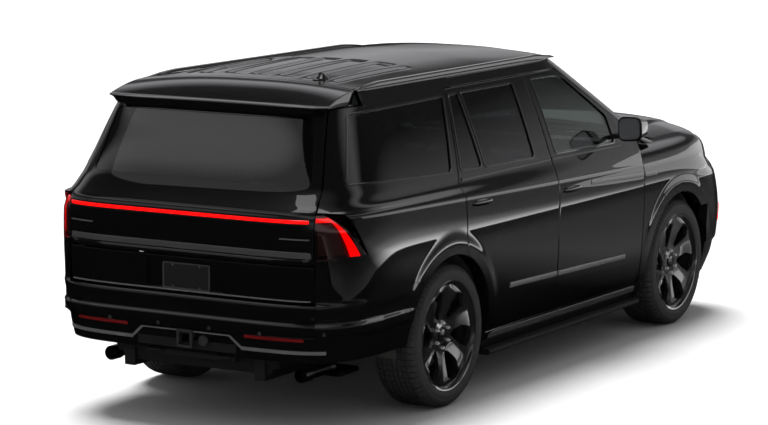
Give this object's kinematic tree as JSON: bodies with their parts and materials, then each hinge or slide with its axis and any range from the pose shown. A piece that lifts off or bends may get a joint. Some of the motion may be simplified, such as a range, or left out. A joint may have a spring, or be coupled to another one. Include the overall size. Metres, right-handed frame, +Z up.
{
  "type": "sport utility vehicle",
  "caption": "Full-size four-door closed family car with long roof, lifting rear gate, drop tailgate, hinged doors and hood, steered front wheels and free-turning wheels.",
  "frame": {"origin": "on the ground, under the middle of the bounding box", "axes": "+X forwards, +Y to the car's left, +Z up"},
  "size_m": [5.3297, 2.3796, 1.945],
  "materials": {
    "body_paint": "gloss",
    "chassis": "satin",
    "glass": "gloss",
    "black_trim": "gloss",
    "lamp": "gloss",
    "red_lamp": "gloss",
    "liner_plastic": "matte",
    "casting": "rough",
    "steel": "satin",
    "interior_plastic": "matte",
    "seat_leather": "satin",
    "plate": "satin",
    "rim": "gloss",
    "tyre": "matte"
  },
  "bodies": {
    "body": {"ladder_frame": "chassis", "underbody": "chassis", "body_sides": "body_paint", "roof": "body_paint", "body_glass": "glass", "roof_rails": "black_trim", "front_fenders": "body_paint", "front_bumper": "body_paint", "grille": "black_trim", "lamps": "lamp", "rear_bumper": "body_paint", "wheel_liners": "liner_plastic", "running_boards": "black_trim", "engine": "casting", "exhaust": "steel", "dashboard": "interior_plastic", "steering_wheel": "interior_plastic", "seats": "seat_leather", "suspension": "steel"},
    "hood": {"hood": "body_paint"},
    "liftgate": {"liftgate": "body_paint", "liftgate_glass": "glass", "light_bar": "red_lamp"},
    "tailgate": {"tailgate": "body_paint", "number_plate": "plate"},
    "front_door_left": {"front_door_left": "body_paint", "front_glass_left": "glass", "mirror_left": "black_trim"},
    "rear_door_left": {"rear_door_left": "body_paint", "rear_glass_left": "glass"},
    "knuckle_left": {"knuckle_left": "steel"},
    "wheel_front_left": {"wheel_front_left": "rim", "tyre_front_left": "tyre"},
    "wheel_rear_left": {"wheel_rear_left": "rim", "tyre_rear_left": "tyre"},
    "front_door_right": {"front_door_right": "body_paint", "front_glass_right": "glass", "mirror_right": "black_trim"},
    "rear_door_right": {"rear_door_right": "body_paint", "rear_glass_right": "glass"},
    "knuckle_right": {"knuckle_right": "steel"},
    "wheel_front_right": {"wheel_front_right": "rim", "tyre_front_right": "tyre"},
    "wheel_rear_right": {"wheel_rear_right": "rim", "tyre_rear_right": "tyre"}
  },
  "joints": [
    {"name": "hood_hinge", "type": "hinge", "parent": "body", "child": "hood", "pos_m": [1.55, 0, 1.236], "axis": [0, -1, 0], "range_deg": [0, 50]},
    {"name": "liftgate_hinge", "type": "hinge", "parent": "body", "child": "liftgate", "pos_m": [-1.955, 0, 1.869], "axis": [0, 1, 0], "range_deg": [0, 78]},
    {"name": "tailgate_hinge", "type": "hinge", "parent": "body", "child": "tailgate", "pos_m": [-2.5666, 0, 0.84], "axis": [0, -1, 0], "range_deg": [0, 90]},
    {"name": "front_door_left_hinge", "type": "hinge", "parent": "body", "child": "front_door_left", "pos_m": [1.17, 0.9825, 0.91], "axis": [0, 0, -1], "range_deg": [0, 65]},
    {"name": "rear_door_left_hinge", "type": "hinge", "parent": "body", "child": "rear_door_left", "pos_m": [-0.038, 0.9825, 0.91], "axis": [0, 0, -1], "range_deg": [0, 65]},
    {"name": "steer_left", "type": "hinge", "parent": "body", "child": "knuckle_left", "pos_m": [1.712, 0.765, 0.4175], "axis": [0, 0, 1], "range_deg": [-32, 32]},
    {"name": "spin_front_left", "type": "hinge", "parent": "knuckle_left", "child": "wheel_front_left", "pos_m": [1.712, 0.853, 0.4175], "axis": [0, 1, 0], "continuous": true},
    {"name": "spin_rear_left", "type": "hinge", "parent": "body", "child": "wheel_rear_left", "pos_m": [-1.4, 0.853, 0.4175], "axis": [0, 1, 0], "continuous": true},
    {"name": "front_door_right_hinge", "type": "hinge", "parent": "body", "child": "front_door_right", "pos_m": [1.17, -0.9825, 0.91], "axis": [0, 0, 1], "range_deg": [0, 65]},
    {"name": "rear_door_right_hinge", "type": "hinge", "parent": "body", "child": "rear_door_right", "pos_m": [-0.038, -0.9825, 0.91], "axis": [0, 0, 1], "range_deg": [0, 65]},
    {"name": "steer_right", "type": "hinge", "parent": "body", "child": "knuckle_right", "pos_m": [1.712, -0.765, 0.4175], "axis": [0, 0, 1], "range_deg": [-32, 32]},
    {"name": "spin_front_right", "type": "hinge", "parent": "knuckle_right", "child": "wheel_front_right", "pos_m": [1.712, -0.853, 0.4175], "axis": [0, 1, 0], "continuous": true},
    {"name": "spin_rear_right", "type": "hinge", "parent": "body", "child": "wheel_rear_right", "pos_m": [-1.4, -0.853, 0.4175], "axis": [0, 1, 0], "continuous": true}
  ],
  "couplings": [
    {"joint": "steer_right", "follows": "steer_left", "ratio": 1}
  ]
}
